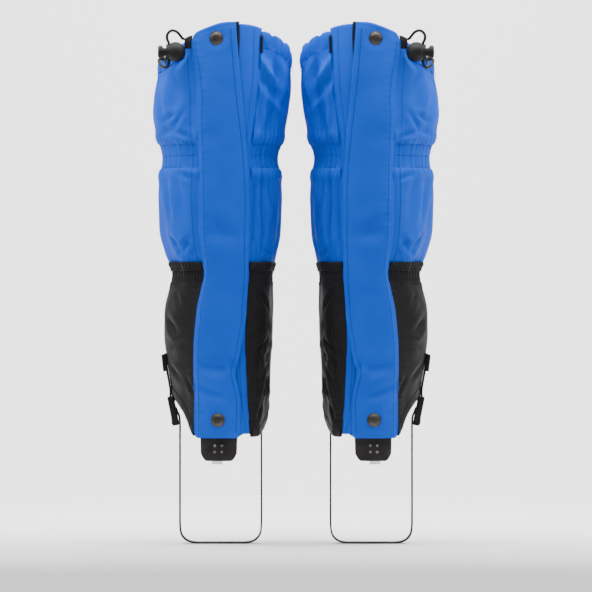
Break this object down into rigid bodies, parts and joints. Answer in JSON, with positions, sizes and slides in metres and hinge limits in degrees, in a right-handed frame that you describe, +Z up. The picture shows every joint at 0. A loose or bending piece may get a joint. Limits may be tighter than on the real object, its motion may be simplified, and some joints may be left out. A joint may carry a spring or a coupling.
{
  "type": "hiking gaiters",
  "caption": "Pair of knee-high hiking gaiters with a front flap, snaps, drawcord rim, lace hook and instep strap.",
  "frame": {"origin": "between the two legs, at the level of the underside of the instep straps", "axes": "+Z up along the legs, front towards -Y, the wearer's left towards +X"},
  "size_m": [0.3006, 0.1695, 0.5499],
  "materials": {
    "shell_fabric": "bright blue softshell with a fine twill face",
    "scuff_fabric": "charcoal plain-weave nylon",
    "binding_tape": "black-brown woven binding tape",
    "elastic_band": "black ribbed elastic",
    "closure_tape": "black hook-and-loop tape",
    "snap_metal": "dark gunmetal lacquer",
    "cord_braid": "black braided cord",
    "black_plastic": "moulded black plastic",
    "webbing": "black ribbed webbing",
    "tab_leather": "black synthetic leather tab",
    "bright_steel": "bright plated steel"
  },
  "bodies": {
    "right_shell": {"right_calf_panel": "shell_fabric", "right_ankle_panel": "scuff_fabric", "right_placket": "shell_fabric", "right_flap_seam": "shell_fabric", "right_top_hem": "shell_fabric", "right_seam_band": "scuff_fabric", "right_bottom_binding": "binding_tape", "right_calf_elastic": "elastic_band", "right_ankle_elastic": "elastic_band", "right_hook_tape": "closure_tape", "right_snap_studs": "snap_metal", "right_snap_posts": "snap_metal", "right_drawcord": "cord_braid", "right_drawcord_loop": "cord_braid", "right_cord_lock_body": "black_plastic", "right_cord_lock_spring": "bright_steel", "right_cord_eyelet": "black_plastic", "right_buckle_webbing": "webbing", "right_strap_buckle": "black_plastic", "right_strap_tail": "webbing", "right_inner_anchor": "webbing", "right_lace_hook": "bright_steel", "right_hook_tab": "tab_leather", "right_hook_rivets": "bright_steel"},
    "right_flap": {"right_front_flap": "shell_fabric", "right_loop_tape": "closure_tape", "right_snap_caps": "snap_metal", "right_snap_sockets": "snap_metal"},
    "right_strap": {"right_instep_strap": "webbing"},
    "right_lock_button": {"right_cord_lock_button": "black_plastic"},
    "left_shell": {"left_calf_panel": "shell_fabric", "left_ankle_panel": "scuff_fabric", "left_placket": "shell_fabric", "left_flap_seam": "shell_fabric", "left_top_hem": "shell_fabric", "left_seam_band": "scuff_fabric", "left_bottom_binding": "binding_tape", "left_calf_elastic": "elastic_band", "left_ankle_elastic": "elastic_band", "left_hook_tape": "closure_tape", "left_snap_studs": "snap_metal", "left_snap_posts": "snap_metal", "left_drawcord": "cord_braid", "left_drawcord_loop": "cord_braid", "left_cord_lock_body": "black_plastic", "left_cord_lock_spring": "bright_steel", "left_cord_eyelet": "black_plastic", "left_buckle_webbing": "webbing", "left_strap_buckle": "black_plastic", "left_strap_tail": "webbing", "left_inner_anchor": "webbing", "left_lace_hook": "bright_steel", "left_hook_tab": "tab_leather", "left_hook_rivets": "bright_steel"},
    "left_flap": {"left_front_flap": "shell_fabric", "left_loop_tape": "closure_tape", "left_snap_caps": "snap_metal", "left_snap_sockets": "snap_metal"},
    "left_strap": {"left_instep_strap": "webbing"},
    "left_lock_button": {"left_cord_lock_button": "black_plastic"}
  },
  "joints": [
    {"name": "right_flap_hinge", "type": "hinge", "parent": "right_shell", "child": "right_flap", "pos_m": [-0.096, -0.0786, 0.55], "axis": [0, -0.0179, -0.9998], "range_deg": [0, 120]},
    {"name": "right_strap_swing", "type": "hinge", "parent": "right_shell", "child": "right_strap", "pos_m": [-0.08, -0.012, 0.124], "axis": [1, 0, 0], "range_deg": [-40, 40]},
    {"name": "right_lock_press", "type": "slide", "parent": "right_shell", "child": "right_lock_button", "axis": [1, 0, 0], "range_m": [0, 0.003], "stiffness_N_per_m": 400, "springref_m": -0.002},
    {"name": "left_flap_hinge", "type": "hinge", "parent": "left_shell", "child": "left_flap", "pos_m": [0.096, -0.0786, 0.55], "axis": [0, 0.0179, 0.9998], "range_deg": [0, 120]},
    {"name": "left_strap_swing", "type": "hinge", "parent": "left_shell", "child": "left_strap", "pos_m": [0.08, -0.012, 0.124], "axis": [1, 0, 0], "range_deg": [-40, 40]},
    {"name": "left_lock_press", "type": "slide", "parent": "left_shell", "child": "left_lock_button", "axis": [-1, 0, 0], "range_m": [0, 0.003], "stiffness_N_per_m": 400, "springref_m": -0.002},
    {"name": "leg_spacing", "type": "slide", "parent": "right_shell", "child": "left_shell", "axis": [1, 0, 0], "range_m": [0, 0.12]}
  ]
}
